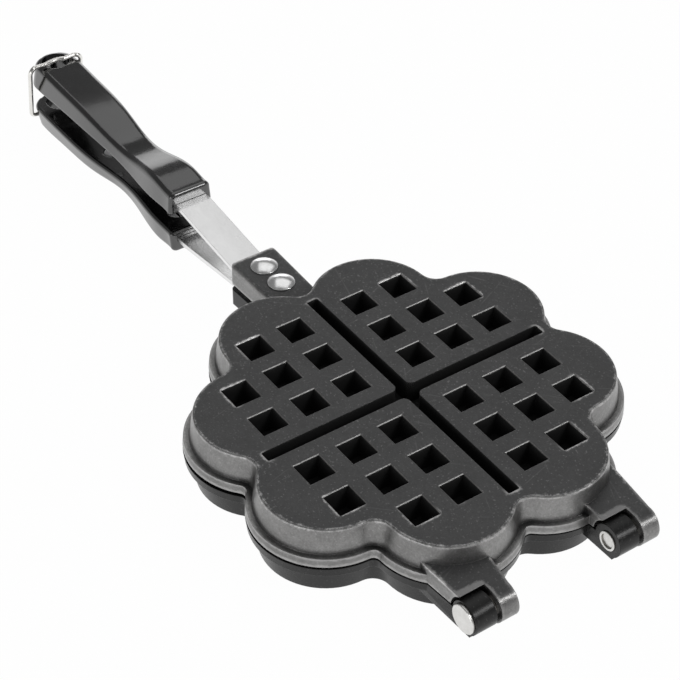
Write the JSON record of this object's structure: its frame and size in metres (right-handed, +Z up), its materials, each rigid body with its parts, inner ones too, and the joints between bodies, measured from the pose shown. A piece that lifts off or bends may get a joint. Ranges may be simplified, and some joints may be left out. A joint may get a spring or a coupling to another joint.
{
  "type": "stovetop waffle iron",
  "caption": "Hinged stovetop waffle iron: two lobed cast plates with a heart-cavity waffle grid, riveted steel straps, moulded handles and a wire latch bail.",
  "frame": {"origin": "centre of the lobed plates on the lower plate's outer face, the face the iron stands on", "axes": "+X towards the hinge, -X towards the handles, +Y to the left seen from the handles' end, +Z up through the closed plates"},
  "size_m": [0.3699, 0.1566, 0.0354],
  "materials": {
    "plates": "cast, with a fine matt charcoal coating worn lighter along its edges",
    "straps": "rolled and lightly brushed",
    "handles": "polished black phenolic moulding",
    "rivets": "bright formed heads",
    "screws": "zinc plated",
    "pins": "turned, bright",
    "wire": "bright drawn spring wire"
  },
  "bodies": {
    "lower_half": {"lower_plate": "plates", "lower_strap": "straps", "lower_handle": "handles", "lower_front_rivet": "rivets", "lower_rear_rivet": "rivets", "lower_front_screw": "screws", "lower_rear_screw": "screws", "right_hinge_pin": "pins", "left_hinge_pin": "pins"},
    "upper_half": {"upper_plate": "plates", "upper_strap": "straps", "upper_handle": "handles", "upper_front_rivet": "rivets", "upper_rear_rivet": "rivets", "upper_front_screw": "screws", "upper_rear_screw": "screws"},
    "bail": {"latch_bail": "wire"}
  },
  "joints": [
    {"name": "plate_hinge", "type": "hinge", "parent": "lower_half", "child": "upper_half", "pos_m": [0.088, 0, 0.01425], "axis": [0, 1, 0], "range_deg": [0, 179]},
    {"name": "latch_swing", "type": "hinge", "parent": "lower_half", "child": "bail", "pos_m": [-0.27, 0, 0.00575], "axis": [0, -1, 0], "range_deg": [0, 105]}
  ]
}
